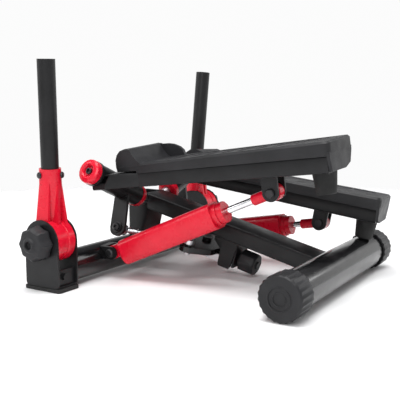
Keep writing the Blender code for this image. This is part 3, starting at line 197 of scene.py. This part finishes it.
def black_rubber():
    """Dull black rubber."""
    material, shader = new_material("dull_rubber", (0.016, 0.016, 0.016), 0.75, 0.0, 0.30)
    tones = ((0.012, 0.012, 0.012), (0.022, 0.022, 0.022))
    dress(material, shader, tones, (0.66, 0.84), 700.0, (0.30, 0.0005))
    return material


def red_plastic():
    """Glossy red moulding, slightly uneven in depth of colour."""
    material, shader = new_material("red_moulding", (0.60, 0.005, 0.022), 0.28, 0.0, 0.32)
    shader.inputs["Coat Weight"].default_value = 0.08
    shader.inputs["Coat Roughness"].default_value = 0.12
    tones = ((0.57, 0.004, 0.020), (0.62, 0.006, 0.025))
    dress(material, shader, tones, (0.24, 0.31), 420.0, (0.08, 0.0003))
    return material


def chrome():
    """Polished rod with faint marks along its length."""
    material, shader = new_material("polished_chrome", (0.80, 0.80, 0.82), 0.1, 1.0)
    tones = ((0.72, 0.72, 0.74), (0.86, 0.86, 0.87))
    dress(material, shader, tones, (0.07, 0.17), 500.0, (0.05, 0.0002), (1, 0.1, 1))
    return material


def zinc():
    """Bright zinc plate with a slightly cloudy passivation."""
    material, shader = new_material("zinc_plate", (0.60, 0.60, 0.62), 0.32, 1.0)
    tones = ((0.48, 0.48, 0.50), (0.68, 0.68, 0.70))
    dress(material, shader, tones, (0.24, 0.42), 600.0, (0.12, 0.0003))
    return material


def black_oxide():
    """Blackened steel bolts, rubbed a little lighter in places."""
    material, shader = new_material("blackened_steel", (0.030, 0.030, 0.032), 0.36, 0.7)
    tones = ((0.018, 0.018, 0.019), (0.055, 0.055, 0.058))
    dress(material, shader, tones, (0.26, 0.44), 700.0, (0.15, 0.0002))
    return material


def floor_finish():
    """Pale matt studio floor."""
    material, shader = new_material("studio_floor", FLOOR_TONE, 0.6, 0.0, 0.3)
    tones = ((0.89, 0.89, 0.895), (0.92, 0.92, 0.925))
    dress(material, shader, tones, (0.55, 0.66), 240.0, (0.03, 0.0004))
    return material


def make_finishes():
    """One finish for each material slot of the record."""
    return {
        "powder_coat": powder_coat(),
        "gloss_black": gloss_black(),
        "black_plastic": black_plastic(),
        "black_rubber": black_rubber(),
        "red_plastic": red_plastic(),
        "chrome": chrome(),
        "zinc": zinc(),
        "black_oxide": black_oxide(),
    }


# ---------------------------------------------------------------- pieces
def rounding_of(node_name):
    """The edge rounding of a node, or None where the CAD shape is shown as it is."""
    for name, width in EDGE_ROUNDING.items():
        if node_name in (name, name + "_left", name + "_right"):
            return width
    return None


def clean_mesh(node_object):
    """The node's surface with shared corners and its flat faces whole."""
    surface = bmesh.new()
    surface.from_mesh(node_object.data)
    bmesh.ops.remove_doubles(surface, verts=surface.verts, dist=MERGE_DISTANCE)
    edges = list(surface.edges)
    bmesh.ops.dissolve_limit(surface, angle_limit=FLAT_ANGLE, verts=surface.verts, edges=edges)
    for face in surface.faces:
        face.smooth = True
    for edge in surface.edges:
        if len(edge.link_faces) == 2:
            edge.smooth = edge.calc_face_angle(0.0) < SMOOTH_ANGLE
    mesh = bpy.data.meshes.new(node_object.name + "_soft")
    surface.to_mesh(mesh)
    surface.free()
    return mesh


def softened_copy(node_name, node_object, body, finish, width):
    """A copy of a CAD node with rounded edges, riding on the same body."""
    mesh = clean_mesh(node_object)
    mesh.materials.append(finish)
    piece = bpy.data.objects.new(node_name + "_soft", mesh)
    bpy.context.scene.collection.objects.link(piece)
    bevel = piece.modifiers.new("edges", "BEVEL")
    bevel.width = width
    bevel.segments = BEVEL_STEPS
    bevel.limit_method = "ANGLE"
    bevel.angle_limit = SMOOTH_ANGLE
    bevel.harden_normals = False
    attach(piece, body)
    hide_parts(node_name)
    return piece


def paint_node(node_object, finish):
    """Puts a finish on a CAD node that is shown as it is."""
    if not node_object.material_slots:
        node_object.data.materials.append(finish)
    for slot in node_object.material_slots:
        slot.link = "OBJECT"
        slot.material = finish


def dress_object(frame, finishes):
    """Gives every node its finish and softens the large visible ones."""
    record = frame["record"]
    slots = {row["node"]: row["material_slot"] for row in record["subparts"]}
    bodies = {name: body for body, names in record["behaviour"]["bodies"].items() for name in names}
    for node_name, node_object in sorted(frame["nodes"].items()):
        finish = finishes[slots[node_name]]
        width = rounding_of(node_name)
        if width is None:
            paint_node(node_object, finish)
        else:
            softened_copy(node_name, node_object, bodies[node_name], finish, width)


def ring_bead(name, centre, radius, bead):
    """A thin raised ring round the X axis."""
    surface = bmesh.new()
    turns, sides = CAP_RING_TURNS, CAP_RING_SIDES
    loops = []
    for turn in range(turns):
        angle = 2 * math.pi * turn / turns
        loop = []
        for side in range(sides):
            around = 2 * math.pi * side / sides
            reach = radius + bead * math.cos(around)
            point = Vector((bead * math.sin(around), reach * math.cos(angle), reach * math.sin(angle)))
            loop.append(surface.verts.new(centre + point))
        loops.append(loop)
    for turn in range(turns):
        first, second = loops[turn], loops[(turn + 1) % turns]
        for side in range(sides):
            after = (side + 1) % sides
            face = surface.faces.new((first[side], first[after], second[after], second[side]))
            face.smooth = True
    bmesh.ops.recalc_face_normals(surface, faces=surface.faces)
    mesh = bpy.data.meshes.new(name)
    surface.to_mesh(mesh)
    surface.free()
    ring = bpy.data.objects.new(name, mesh)
    bpy.context.scene.collection.objects.link(ring)
    return ring


def add_cap_rings(finish):
    """Raised rings on the outer faces of the two rear caps."""
    for side in ("left", "right"):
        low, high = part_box("rear_cap_" + side)
        middle = (low + high) / 2
        face_x = low.x + CAP_RING_SINK if side == "left" else high.x - CAP_RING_SINK
        for index, (radius, bead) in enumerate(CAP_RINGS):
            name = "cap_ring_%d_%s" % (index, side)
            ring = ring_bead(name, Vector((face_x, middle.y, middle.z)), radius, bead)
            ring.data.materials.append(finish)
            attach(ring, "frame")


# ---------------------------------------------------------------- studio
def add_floor():
    """Round pale floor."""
    mesh = bpy.data.meshes.new("floor")
    surface = bmesh.new()
    bmesh.ops.create_circle(surface, cap_ends=True, segments=64, radius=FLOOR_RADIUS)
    surface.to_mesh(mesh)
    surface.free()
    mesh.materials.append(floor_finish())
    floor = bpy.data.objects.new("floor", mesh)
    floor.location.z = -FLOOR_DROP
    bpy.context.scene.collection.objects.link(floor)


def white_room():
    """A room with white walls and a dimmer ceiling."""
    world = bpy.data.worlds.new("white_room")
    world.use_nodes = True
    tree = world.node_tree
    direction = tree.nodes.new("ShaderNodeTexCoord")
    parts = tree.nodes.new("ShaderNodeSeparateXYZ")
    tree.links.new(direction.outputs["Generated"], parts.inputs["Vector"])
    walls = ramp(tree, parts.outputs["Z"], WALL_TOP, CEILING_START, WALL_TONE, CEILING_TONE)
    background = tree.nodes["Background"]
    tree.links.new(walls, background.inputs["Color"])
    background.inputs["Strength"].default_value = 1.0
    return world


def add_lights():
    """Plain soft studio lights round and over the object, and a white room."""
    for name, place, width, height, power in STUDIO_LIGHTS:
        data = bpy.data.lights.new(name, "AREA")
        data.shape = "RECTANGLE"
        data.size = width
        data.size_y = height
        data.energy = power
        light = bpy.data.objects.new(name, data)
        light.location = place
        light.rotation_euler = (Vector(AIM) - Vector(place)).to_track_quat("-Z", "Y").to_euler()
        bpy.context.scene.collection.objects.link(light)
    bpy.context.scene.world = white_room()
    bpy.context.scene.view_settings.view_transform = "Standard"


def add_camera():
    """Camera low behind the left rear corner."""
    data = bpy.data.cameras.new("camera")
    data.lens = CAMERA_LENS
    data.sensor_width = CAMERA_SENSOR
    camera = bpy.data.objects.new("camera", data)
    camera.location = CAMERA_PLACE
    camera.rotation_euler = CAMERA_TURN
    bpy.context.scene.collection.objects.link(camera)
    bpy.context.scene.camera = camera


with open("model.json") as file:
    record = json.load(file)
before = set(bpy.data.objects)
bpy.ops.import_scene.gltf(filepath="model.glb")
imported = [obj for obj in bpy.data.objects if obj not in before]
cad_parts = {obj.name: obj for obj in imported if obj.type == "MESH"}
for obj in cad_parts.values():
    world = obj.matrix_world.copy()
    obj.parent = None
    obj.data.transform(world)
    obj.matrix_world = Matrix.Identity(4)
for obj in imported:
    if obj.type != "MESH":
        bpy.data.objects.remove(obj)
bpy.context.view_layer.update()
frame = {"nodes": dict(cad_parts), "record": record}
finishes = make_finishes()
dress_object(frame, finishes)
add_cap_rings(finishes["black_plastic"])
add_floor()
add_lights()
add_camera()
